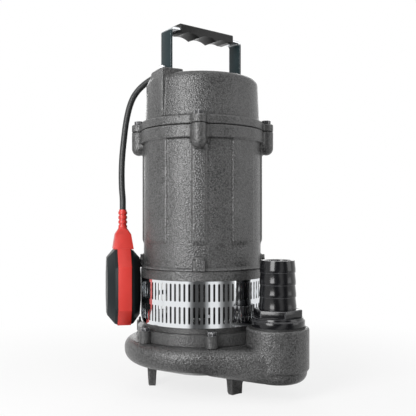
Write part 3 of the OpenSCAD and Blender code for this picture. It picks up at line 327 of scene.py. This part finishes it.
# worn is the lighter colour of the outer edges, which is wear and also a painted highlight
def hammertone(name, dark, light, worn, gloss, depth, dimples=600.0):
    return shader_from(name, HAMMERED_PAINT, {
        "Dark": grey(dark), "Light": grey(light), "Worn": grey(worn), "Gloss": gloss,
        "Depth": depth, "Dimples": dimples})


def plain(name, color, worn, gloss, metallic=0.0, grain=900.0, depth=0.00005,
          stretch=(1, 1, 1), uneven=0.18, mirror=0.5, edge=None):
    return shader_from(name, FINE_GRAIN, {
        "Color": (*color, 1), "Worn": (*worn, 1), "Edge": (*(edge or worn), 1),
        "Gloss": gloss, "Grain": grain,
        "Depth": depth, "Stretch": stretch, "Uneven": uneven}, metallic, mirror=mirror)


FINISHES = {
    # The third number of each hammertone is its outer edges' colour, which is wear and also a
    # painted highlight
    "hammertone_paint": hammertone("hammertone_paint", 0.020, 0.080, 0.13, 0.20, 0.0005),
    "dark_casting": hammertone("dark_casting", 0.026, 0.066, 0.12, 0.28, 0.0003),
    "stainless_band": plain("stainless_band", (0.78, 0.80, 0.82), (0.60, 0.63, 0.66), 0.03,
                            metallic=1.0, grain=260, depth=0.00004, stretch=(1, 1, 0.15),
                            uneven=0.10),
    # the strap's pale edge colour is a painted highlight along its rounded edges, as well as wear
    "strap_steel": plain("strap_steel", (0.014, 0.024, 0.027), (0.022, 0.034, 0.038), 0.24,
                         grain=1200, depth=0.00002, mirror=0.12, edge=(0.42, 0.44, 0.46)),
    "bright_steel": plain("bright_steel", (0.72, 0.73, 0.75), (0.55, 0.56, 0.58), 0.2,
                          metallic=1.0, grain=900, depth=0.00002),
    # the bolts' pale edge colour is a painted highlight along their rounded edges, as well as wear
    "black_bolts": plain("black_bolts", (0.018, 0.018, 0.020), (0.05, 0.05, 0.055), 0.28,
                         grain=900, depth=0.00004, edge=(0.34, 0.34, 0.35)),
    # the black plastic's lighter edge colour is a painted highlight along its rounded edges, as
    # well as wear
    "black_plastic": plain("black_plastic", (0.004, 0.004, 0.005), (0.008, 0.008, 0.009), 0.12,
                           grain=600, depth=0.00003, uneven=0.06, mirror=0.4,
                           edge=(0.045, 0.045, 0.048)),
    "grip_plastic": plain("grip_plastic", (0.010, 0.010, 0.010), (0.022, 0.022, 0.022), 0.34,
                          grain=900, depth=0.00012, mirror=0.25),
    "cord_rubber": plain("cord_rubber", (0.010, 0.011, 0.011), (0.022, 0.023, 0.024), 0.34,
                         grain=1400, depth=0.00004),
    "seal_rubber": plain("seal_rubber", (0.012, 0.012, 0.012), (0.02, 0.02, 0.02), 0.5),
    "float_red": plain("float_red", (0.455, 0.021, 0.014), (0.51, 0.029, 0.021), 0.34,
                       grain=520, depth=0.00008),
    "float_black": plain("float_black", (0.008, 0.011, 0.012), (0.013, 0.017, 0.018), 0.3,
                         grain=520, depth=0.00008, mirror=0.12),
    "bearing_steel": plain("bearing_steel", (0.66, 0.67, 0.68), (0.58, 0.59, 0.6), 0.12,
                           metallic=1.0),
    "shaft_steel": plain("shaft_steel", (0.6, 0.61, 0.62), (0.5, 0.51, 0.52), 0.22,
                         metallic=1.0, stretch=(1, 1, 8)),
    "lamination": plain("lamination", (0.24, 0.25, 0.26), (0.18, 0.18, 0.19), 0.4,
                        metallic=0.8, stretch=(0.2, 0.2, 20)),
    "cage_aluminium": plain("cage_aluminium", (0.68, 0.69, 0.7), (0.55, 0.56, 0.57), 0.38,
                            metallic=1.0),
    "copper_wire": plain("copper_wire", (0.72, 0.30, 0.12), (0.55, 0.20, 0.08), 0.3,
                         metallic=0.9, stretch=(1, 1, 6)),
    "impeller_brass": plain("impeller_brass", (0.66, 0.47, 0.20), (0.5, 0.34, 0.14), 0.34,
                            metallic=1.0),
    "ceramic": plain("ceramic", (0.72, 0.70, 0.64), (0.66, 0.64, 0.58), 0.2),
    "capacitor_case": plain("capacitor_case", (0.72, 0.73, 0.74), (0.6, 0.61, 0.62), 0.3,
                            metallic=1.0),
    "terminal_plastic": plain("terminal_plastic", (0.62, 0.6, 0.54), (0.55, 0.53, 0.47), 0.4),
    "switch_plastic": plain("switch_plastic", (0.05, 0.05, 0.055), (0.08, 0.08, 0.085), 0.4),
}


def rub_bare(material, low, high, bare):
    """Bare steel that shows above a height, where hands and hooks rub the finish away."""
    tree = material.node_tree
    shader = tree.nodes["Principled BSDF"]
    skin = shader.inputs["Base Color"].links[0].from_socket
    place = add(tree, "ShaderNodeTexCoord").outputs["Object"]
    height = add(tree, "ShaderNodeSeparateXYZ", [(0, place)]).outputs["Z"]
    patchy = add(tree, "ShaderNodeTexNoise", [("Vector", place), ("Scale", 160.0)])
    ragged = add(tree, "ShaderNodeMath",
                 [(0, patchy.outputs["Fac"]), (1, high - low), (2, height)],
                 operation="MULTIPLY_ADD")
    rubbed = ramp(tree, ragged.outputs[0], low, high)
    tree.links.new(mix(tree, rubbed, skin, (*bare, 1)), shader.inputs["Base Color"])
    tree.links.new(rubbed, shader.inputs["Metallic"])


STRAP_RUBBED = (440.5 * MM, 443.0 * MM)       # the finish wears off between these heights
BARE_STEEL = (0.72, 0.74, 0.76)
rub_bare(FINISHES["strap_steel"], *STRAP_RUBBED, BARE_STEEL)


def finish_with(piece, *slots):
    piece.data.materials.clear()
    for name in slots:
        piece.data.materials.append(FINISHES[name])


SLOT_OF = {part["node"]: part["material_slot"] for part in frame["record"]["subparts"]}
for node, solid in frame["nodes"].items():
    finish_with(solid, SLOT_OF[node])
finish_with(cord, "cord_rubber")


# ---- Cast bodies: the solids with the soft edges of a casting -----------------

def place_piece(piece, body, slot, *nodes):
    finish_with(piece, slot)
    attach(piece, body)
    if nodes:
        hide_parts(*nodes)
    return piece


def merged_copy(node):
    """The node's mesh as one closed skin."""
    bm = bmesh.new()
    bm.from_mesh(frame["nodes"][node].data)
    bmesh.ops.remove_doubles(bm, verts=bm.verts, dist=1e-6)
    return bm


def mesh_from(bm, name):
    mesh = bpy.data.meshes.new(name)
    bm.to_mesh(mesh)
    bm.free()
    return mesh


def with_modifiers(piece):
    """The piece's mesh after its modifiers, which are then removed."""
    graph = bpy.context.evaluated_depsgraph_get()
    made = bpy.data.meshes.new_from_object(piece.evaluated_get(graph))
    piece.modifiers.clear()
    piece.data = made
    return piece


BRACKET_JOINT = 148               # height of the joint under the housing, in millimetres
COVER_JOINT = 320.2               # height of the joint under the cover
HOUSING_BORE = 71                 # the housing is smooth within this radius
JOINT_DIRT = 0.2                  # how much darker the paint is along a joint
JOINT_HALF = 0.8                  # half width of that line, in millimetres
FOOT_TOP = 20                     # height of the feet, below which the paint is made darker
FOOT_DARKENING = 0.07


def mark_hollows(mesh, joints, rounds=2):
    """How deep each point lies below its neighbours, as a share of their distance.

    Dirt also darkens the joints, which lie at these heights. The feet are made darker towards the
    bottom. The paint shows the depth as painted shade in inner corners and lightens outer edges,
    which is partly wear and partly a painted highlight.
    """
    count = len(mesh.vertices)
    places = np.empty(count * 3)
    mesh.vertices.foreach_get("co", places)
    places = places.reshape(count, 3)
    normals = np.empty(count * 3)
    mesh.vertices.foreach_get("normal", normals)
    ends = np.empty(len(mesh.edges) * 2, dtype=np.int64)
    mesh.edges.foreach_get("vertices", ends)
    first, second = ends.reshape(-1, 2).T
    degree = np.bincount(ends, minlength=count).clip(1)

    def around(values):
        """The mean of each point's neighbours."""
        return (np.bincount(first, values[second], count)
                + np.bincount(second, values[first], count)) / degree

    middle = np.stack([around(places[:, axis]) for axis in range(3)], axis=1)
    gap = np.linalg.norm(places[first] - places[second], axis=1).mean()
    depth = ((middle - places) * normals.reshape(count, 3)).sum(axis=1) / gap
    for _ in range(rounds):
        depth = (depth + around(depth)) / 2
    for height in joints:
        depth += JOINT_DIRT * (abs(places[:, 2] - height * MM) < JOINT_HALF * MM)
    # the feet are made darker towards the bottom
    depth += FOOT_DARKENING * (places[:, 2] < FOOT_TOP * MM)
    mark = mesh.attributes.new(HOLLOW, "FLOAT", "POINT")
    mark.data.foreach_set("value", depth.astype(np.float32))


def thin_out(mesh, bore, angle=4):
    """Merges the small faces inside the bore that meet at less than angle degrees."""
    bm = bmesh.new()
    bm.from_mesh(mesh)
    within = {v for v in bm.verts if v.co.xy.length < bore * MM}
    bmesh.ops.dissolve_limit(bm, angle_limit=math.radians(angle), verts=list(within),
                             edges=[e for e in bm.edges if within.issuperset(e.verts)])
    bm.to_mesh(mesh)
    bm.free()


def cast_body(name, node, grain, rounds, joints=(), bore=0):
    """A casting: the node's solid in even faces of size grain, its edges worn in rounds."""
    piece = link(name, mesh_from(merged_copy(node), name))
    remesh = piece.modifiers.new("skin", "REMESH")
    remesh.mode = "VOXEL"
    remesh.voxel_size = grain * MM
    remesh.use_smooth_shade = True
    soften = piece.modifiers.new("soften", "SMOOTH")
    soften.factor = 0.5
    soften.iterations = rounds
    with_modifiers(piece)
    piece.data.shade_smooth()
    mark_hollows(piece.data, joints)
    if bore:
        thin_out(piece.data, bore)
    return piece


place_piece(cast_body("casing_casting", "pump_casing", grain=1.35, rounds=2),
            "pump", "hammertone_paint", "pump_casing")
place_piece(cast_body("housing_casting", "motor_housing", grain=1.2, rounds=1,
                      joints=(BRACKET_JOINT, COVER_JOINT), bore=HOUSING_BORE),
            "pump", "hammertone_paint", "motor_housing")
place_piece(cast_body("cover_casting", "top_cover", grain=1.15, rounds=1,
                      joints=(COVER_JOINT,)),
            "pump", "hammertone_paint", "top_cover")


# ---- Eased copies: the solids with small rounded edges ----------------------

def sharp_edges(bm, angle):
    """Edges between two faces that meet at more than angle degrees."""
    limit = math.radians(angle)
    return [e for e in bm.edges if len(e.link_faces) == 2 and e.calc_face_angle(0) > limit]


def shade(bm, angle=32):
    """Smooth shading, with a crease where faces meet at more than angle degrees."""
    for face in bm.faces:
        face.smooth = True
    for edge in sharp_edges(bm, angle):
        edge.smooth = False


def ease(bm, width, angle=28, segments=2):
    """Rounds every edge that is sharper than angle, by width millimetres, and marks it."""
    # The marked faces take a finish's Edge colour, which on the strap, the bolts and the black
    # plastic is a painted highlight as well as wear
    worn = bm.faces.layers.float.new(EDGE)
    made = bmesh.ops.bevel(bm, geom=sharp_edges(bm, angle), offset=width * MM,
                           offset_type="OFFSET", segments=segments, profile=0.5,
                           affect="EDGES", clamp_overlap=True, material=-1)
    for face in made["faces"]:
        face[worn] = 1


def eased_copy(name, node, body, slot, width, angle=28, segments=2):
    """The node's solid with flat faces made whole and its edges rounded."""
    bm = merged_copy(node)
    bmesh.ops.dissolve_limit(bm, angle_limit=math.radians(0.5), verts=bm.verts, edges=bm.edges)
    ease(bm, width, angle, segments)
    shade(bm)
    piece = link(name, mesh_from(bm, name))
    return place_piece(piece, body, slot, node)


eased_copy("grip_moulding", "handle_grip", "pump", "grip_plastic", 1.0)
eased_copy("strap_bar", "handle_strap", "pump", "strap_steel", 0.45)
eased_copy("handle_screws", "handle_bolts", "pump", "bright_steel", 0.35)
eased_copy("cover_screws", "cover_bolts", "pump", "black_bolts", 0.45)
eased_copy("plate_screws", "plate_bolts", "pump", "black_bolts", 0.45)
eased_copy("float_band", "float_frame", "float", "float_red", 0.6)
eased_copy("float_side_outer", "float_shell_outer", "float", "float_black", 0.7)
eased_copy("float_side_inner", "float_shell_inner", "float", "float_black", 0.7)


# ---- Strainer band ------------------------------------------------------------

STRAINER_RADIUS = 78
STRAINER_WALL = 0.9
STRAINER_Z = (82.4, 136.8)        # lower and upper edge
SLOT_ROWS = ((87, 107), (113, 133.8))         # lower and upper end of the slots
SLOTS_IN_ROW = 84
SLOT_WIDTH = 2.6


def add_slot(bm, low, high):
    """The outline of one upright slot with round ends, in the XZ plane."""
    ring = bmesh.ops.create_circle(bm, cap_ends=False, segments=12, radius=SLOT_WIDTH / 2 * MM,
                                   matrix=Matrix.Rotation(math.radians(15), 4, "Z"))["verts"]
    reach = (high - low - SLOT_WIDTH) / 2
    for v in ring:
        v.co = Vector((v.co.x, 0, v.co.y + ((high + low) / 2 + math.copysign(reach, v.co.y)) * MM))


def strainer_band():
    """One slice of the band with its two slots, repeated round and given its thickness."""
    bm = bmesh.new()
    step = 2 * math.pi / SLOTS_IN_ROW
    half = STRAINER_RADIUS * math.sin(step / 2)
    corners = [bm.verts.new(Vector((x, 0, z)) * MM)
               for x, z in ((-half, STRAINER_Z[0]), (half, STRAINER_Z[0]),
                            (half, STRAINER_Z[1]), (-half, STRAINER_Z[1]))]
    for a, b in zip(corners, corners[1:] + corners[:1]):
        bm.edges.new((a, b))
    for low, high in SLOT_ROWS:
        add_slot(bm, low, high)
    bmesh.ops.triangle_fill(bm, edges=bm.edges[:], use_beauty=True)
    for v in bm.verts:                      # the flat slice is wrapped onto the band
        turn = math.asin(max(-1, min(1, v.co.x / (STRAINER_RADIUS * MM))))
        v.co = Vector((STRAINER_RADIUS * math.cos(turn) * MM,
                       STRAINER_RADIUS * math.sin(turn) * MM, v.co.z))
    bmesh.ops.spin(bm, geom=bm.verts[:] + bm.edges[:] + bm.faces[:], cent=(0, 0, 0), axis=UP,
                   angle=2 * math.pi - step, steps=SLOTS_IN_ROW - 1, use_duplicate=True)
    bmesh.ops.remove_doubles(bm, verts=bm.verts[:], dist=1e-5)
    bmesh.ops.recalc_face_normals(bm, faces=bm.faces[:])
    if bm.faces[0].normal.dot(bm.faces[0].calc_center_median() * Vector((1, 1, 0))) < 0:
        bmesh.ops.reverse_faces(bm, faces=bm.faces[:])
    bmesh.ops.solidify(bm, geom=bm.faces[:], thickness=STRAINER_WALL * MM)
    shade(bm, 40)
    piece = link("strainer_sheet", mesh_from(bm, "strainer_sheet"))
    return place_piece(piece, "pump", "stainless_band", "strainer")


strainer = strainer_band()


# ---- Hose tail ------------------------------------------------------------------

TOWER = Vector((91.335, -63.954, 0)) * MM


def lathe(outline, centre, steps):
    """A closed outline of (radius, height) points, turned round an upright axis."""
    bm = bmesh.new()
    ring = [bm.verts.new(centre + Vector((r, 0, z)) * MM) for r, z in outline]
    edges = [bm.edges.new(pair) for pair in zip(ring, ring[1:] + ring[:1])]
    bmesh.ops.spin(bm, geom=ring + edges, cent=centre, axis=UP, angle=2 * math.pi,
                   steps=steps, use_merge=True)
    bmesh.ops.remove_doubles(bm, verts=bm.verts[:], dist=1e-7)
    bmesh.ops.recalc_face_normals(bm, faces=bm.faces[:])
    return bm


TAIL_BORE = 16                    # these are radii and heights, in millimetres
THREAD = 29.7
COLLAR = 31.9
BARB_REACH = 22
TAIL_BOTTOM = 70
COLLAR_Z = 84.4
HEX_Z = 95.2
TAIL_TOP = 161.2
BARBS = 4
BARB_FOOT = 104.3
BARB_RISE = 14.225
BARB_LAND = 4.0
BARB_DROP = 1.1
tail_outline = [(TAIL_BORE, TAIL_BOTTOM), (THREAD, TAIL_BOTTOM), (THREAD, COLLAR_Z),
                (COLLAR, COLLAR_Z), (COLLAR, 91.6), (30.4, 92.4), (29.6, HEX_Z),
                (BARB_REACH, HEX_Z)]
for barb in range(BARBS):
    reach = BARB_REACH - barb / 3
    foot = BARB_FOOT + barb * BARB_RISE
    tail_outline += [(reach, foot), (reach, foot + BARB_LAND),
                     (reach - BARB_DROP, foot + BARB_RISE)]
tail_outline += [(TAIL_BORE, TAIL_TOP)]

bm = lathe(tail_outline, TOWER, 72)
ease(bm, 0.5, 22, 2)
shade(bm)
place_piece(link("tail_turning", mesh_from(bm, "tail_turning")),
            "pump", "black_plastic", "hose_tail")

HEX_CORNER = 29.3                 # radius over the corners
HEX_TALL = 9.2
HEX_MIDDLE = 99.7
HEX_TURN = -46.4

bm = bmesh.new()
bmesh.ops.create_cone(bm, cap_ends=True, segments=6, radius1=HEX_CORNER * MM,
                      radius2=HEX_CORNER * MM, depth=HEX_TALL * MM,
                      matrix=Matrix.Translation(TOWER + UP * HEX_MIDDLE * MM)
                      @ Matrix.Rotation(math.radians(HEX_TURN), 4, "Z"))
ease(bm, 1.1, 20, 3)
shade(bm)
place_piece(link("tail_hexagon", mesh_from(bm, "tail_hexagon")),
            "pump", "black_plastic", "hose_tail")


# ---- Floor, light and background ------------------------------------------------

def glow(tree, strength, color=(1, 1, 1, 1)):
    return add(tree, "ShaderNodeEmission", [("Color", color), ("Strength", strength)]).outputs[0]


DARK_SCREENS = ((-93.5, 15.5), (-43, 13))     # direction and half width, in degrees
SCREEN_EDGE = 0.03                            # softness of their edges
SCREEN_TONE = 0.09
SKY_LIGHT = 0.32                              # strength of the sky for scattered light


def screen_mask(tree, way, turn, half):
    """Dark in front of a screen that stands in this direction, and 1 beside it."""
    toward = (math.cos(math.radians(turn)), math.sin(math.radians(turn)), 0)
    across = add(tree, "ShaderNodeVectorMath", [(0, way), (1, toward)],
                 operation="DOT_PRODUCT").outputs["Value"]
    edge = math.cos(math.radians(half))
    free = ramp(tree, across, edge + SCREEN_EDGE, edge - SCREEN_EDGE)
    return blend_number(tree, free, SCREEN_TONE, 1.0)


def background_glow(tree, place):
    """Whether the background is looked at directly, and how strongly it glows then.

    It is white where it is seen or shows through glass or in a mirror. Only mirrors
    show the two dark screens that stand beside the camera.
    """
    rays = add(tree, "ShaderNodeLightPath")
    level = add(tree, "ShaderNodeVectorMath", [(0, place), (1, (1, 1, 0))],
                operation="MULTIPLY")
    way = add(tree, "ShaderNodeVectorMath", [(0, level.outputs[0])],
              operation="NORMALIZE").outputs[0]
    masks = [screen_mask(tree, way, *screen) for screen in DARK_SCREENS]
    room = add(tree, "ShaderNodeMath", [(0, masks[0]), (1, masks[1])], operation="MULTIPLY")
    seen = add(tree, "ShaderNodeMath",
               [(0, rays.outputs["Is Camera Ray"]), (1, rays.outputs["Is Transmission Ray"])],
               operation="MAXIMUM")
    mirrored = add(tree, "ShaderNodeMath",
                   [(0, rays.outputs["Is Glossy Ray"]), (1, room.outputs[0])],
                   operation="MULTIPLY")
    direct = add(tree, "ShaderNodeMath",
                 [(0, seen.outputs[0]), (1, rays.outputs["Is Glossy Ray"])],
                 operation="MAXIMUM")
    glowing = add(tree, "ShaderNodeMath", [(0, seen.outputs[0]), (1, mirrored.outputs[0])],
                  operation="MAXIMUM")
    return direct.outputs[0], glowing.outputs[0]


world = bpy.data.worlds.new("studio")
world.use_nodes = True
scene.world = world
tree = world.node_tree
back = tree.nodes["Background"]
back.inputs["Color"].default_value = (1, 1, 1, 1)
direct, glowing = background_glow(tree, add(tree, "ShaderNodeTexCoord").outputs["Generated"])
sky = add(tree, "ShaderNodeMapRange",
          [("Value", direct), ("To Min", SKY_LIGHT), ("To Max", glowing)])
tree.links.new(sky.outputs[0], back.inputs["Strength"])

FLOOR_HALF = 6                    # half the floor's side, in metres
SHADOW_FADE = (0.15, 0.6)         # the shadow fades out between these distances
SHADOW_WHITE = 0.78               # how white it is beside the pump

floor_mesh = bpy.data.meshes.new("floor")
sheet = bmesh.new()
bmesh.ops.create_grid(sheet, x_segments=1, y_segments=1, size=FLOOR_HALF)
sheet.to_mesh(floor_mesh)
sheet.free()
floor = link("floor", floor_mesh)
floor_paint = bpy.data.materials.new("floor_paint")
floor_paint.use_nodes = True
tree = floor_paint.node_tree
shader = tree.nodes["Principled BSDF"]
shader.inputs["Base Color"].default_value = (0.8, 0.8, 0.8, 1)
shader.inputs["Roughness"].default_value = 0.9
shader.inputs["Specular IOR Level"].default_value = 0.0
place = add(tree, "ShaderNodeTexCoord").outputs["Object"]
direct, glowing = background_glow(tree, place)
away = add(tree, "ShaderNodeVectorMath", [(0, place)], operation="LENGTH")
whiteness = add(tree, "ShaderNodeMapRange",
                [("Value", away.outputs["Value"]), ("From Min", SHADOW_FADE[0]),
                 ("From Max", SHADOW_FADE[1]), ("To Min", SHADOW_WHITE), ("To Max", 1.0)],
                interpolation_type="SMOOTHSTEP")
share = add(tree, "ShaderNodeMath", [(0, direct), (1, whiteness.outputs[0])],
            operation="MULTIPLY")
over = add(tree, "ShaderNodeMixShader", [(0, share.outputs[0]),
                                          (1, shader.outputs[0]), (2, glow(tree, glowing))])
tree.links.new(over.outputs[0], tree.nodes["Material Output"].inputs["Surface"])
floor.data.materials.append(floor_paint)


PUMP_MIDDLE = Vector((0, 0, 0.22))


def softbox(name, turn, height, distance, width, tall, power):
    """A rectangular lamp that looks at the pump from a direction round it, in degrees."""
    lamp = bpy.data.lights.new(name, "AREA")
    lamp.shape = "RECTANGLE"
    lamp.size = width
    lamp.size_y = tall
    lamp.energy = power
    stand = bpy.data.objects.new(name, lamp)
    scene.collection.objects.link(stand)
    angle = math.radians(turn)
    stand.location = (distance * math.cos(angle), distance * math.sin(angle), height)
    aim = PUMP_MIDDLE - stand.location
    stand.rotation_euler = aim.to_track_quat("-Z", "Y").to_euler()
    stand.visible_camera = False
    return stand


lamp_left = softbox("lamp_left", turn=-122, height=0.45, distance=0.95, width=0.45, tall=0.9,
                    power=12.5)
softbox("lamp_right", turn=-15, height=0.45, distance=1.1, width=0.5, tall=0.9, power=2.2)
softbox("lamp_top", turn=-70, height=1.8, distance=0.6, width=1.2, tall=0.8, power=4)
softbox("lamp_back", turn=95, height=0.7, distance=1.2, width=1.0, tall=0.8, power=6)

# The polished band is screened from this lamp, whose glare would hide its slots
screened = bpy.data.collections.new("screened_from_lamp_left")
screened.objects.link(strainer)
screened.collection_objects[0].light_linking.link_state = "EXCLUDE"
lamp_left.light_linking.receiver_collection = screened
